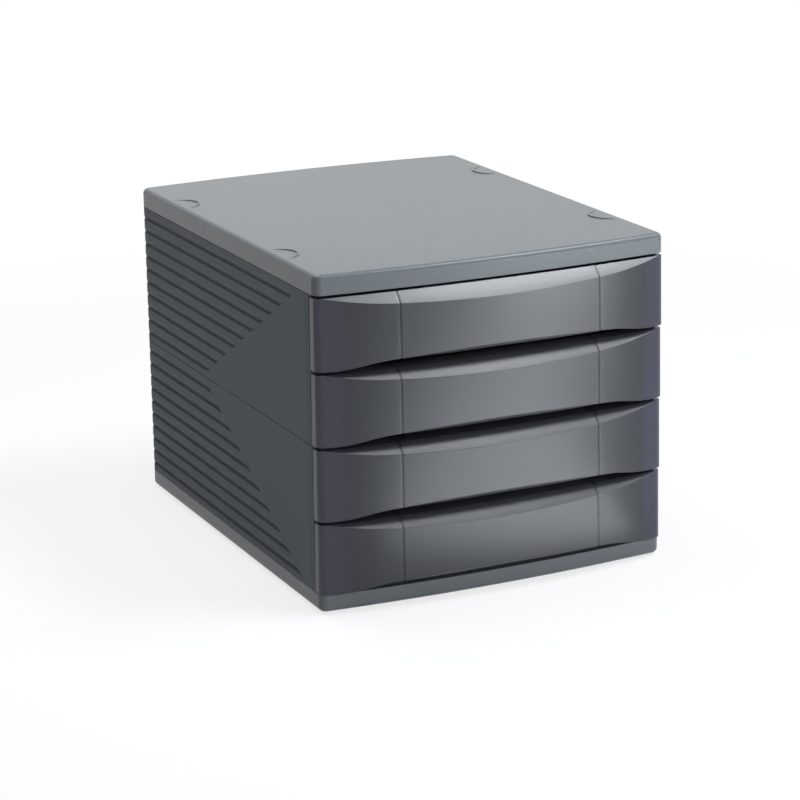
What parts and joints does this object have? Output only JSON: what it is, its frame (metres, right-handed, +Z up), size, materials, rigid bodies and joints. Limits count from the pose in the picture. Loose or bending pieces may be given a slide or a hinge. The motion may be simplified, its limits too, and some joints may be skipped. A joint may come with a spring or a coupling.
{
  "type": "letter tray stack with drawers",
  "caption": "Closed desktop drawer unit for paper, with bulged smoky fronts, ribbed side walls and a flat stackable cover.",
  "frame": {"origin": "centre of the bounding box in X and Y, on the ground under the feet", "axes": "+X to the right seen from the front, +Y from the drawer fronts to the back, +Z up"},
  "size_m": [0.28, 0.365, 0.25],
  "materials": {
    "cover": "fine satin grain",
    "case": "fine satin grain",
    "inner": "plain moulded",
    "trays": "plain moulded",
    "fronts": "smoky and translucent, smooth",
    "feet": "plain moulded",
    "screws": "plain"
  },
  "bodies": {
    "casing": {"top_cover": "cover", "upper_housing": "case", "upper_shelf": "inner", "upper_back_panel": "case", "lower_housing": "case", "lower_shelf": "inner", "lower_back_panel": "case", "base_panel": "cover", "front_left_foot": "feet", "front_right_foot": "feet", "rear_left_foot": "feet", "rear_right_foot": "feet", "base_screws": "screws", "housing_screws": "screws"},
    "drawer_1": {"drawer_1_tray": "trays", "drawer_1_front": "fronts"},
    "drawer_2": {"drawer_2_tray": "trays", "drawer_2_front": "fronts"},
    "drawer_3": {"drawer_3_tray": "trays", "drawer_3_front": "fronts"},
    "drawer_4": {"drawer_4_tray": "trays", "drawer_4_front": "fronts"}
  },
  "joints": [
    {"name": "drawer_1_slide", "type": "slide", "parent": "casing", "child": "drawer_1", "axis": [0, -1, 0], "range_m": [0, 0.27]},
    {"name": "drawer_2_slide", "type": "slide", "parent": "casing", "child": "drawer_2", "axis": [0, -1, 0], "range_m": [0, 0.27]},
    {"name": "drawer_3_slide", "type": "slide", "parent": "casing", "child": "drawer_3", "axis": [0, -1, 0], "range_m": [0, 0.27]},
    {"name": "drawer_4_slide", "type": "slide", "parent": "casing", "child": "drawer_4", "axis": [0, -1, 0], "range_m": [0, 0.27]}
  ]
}
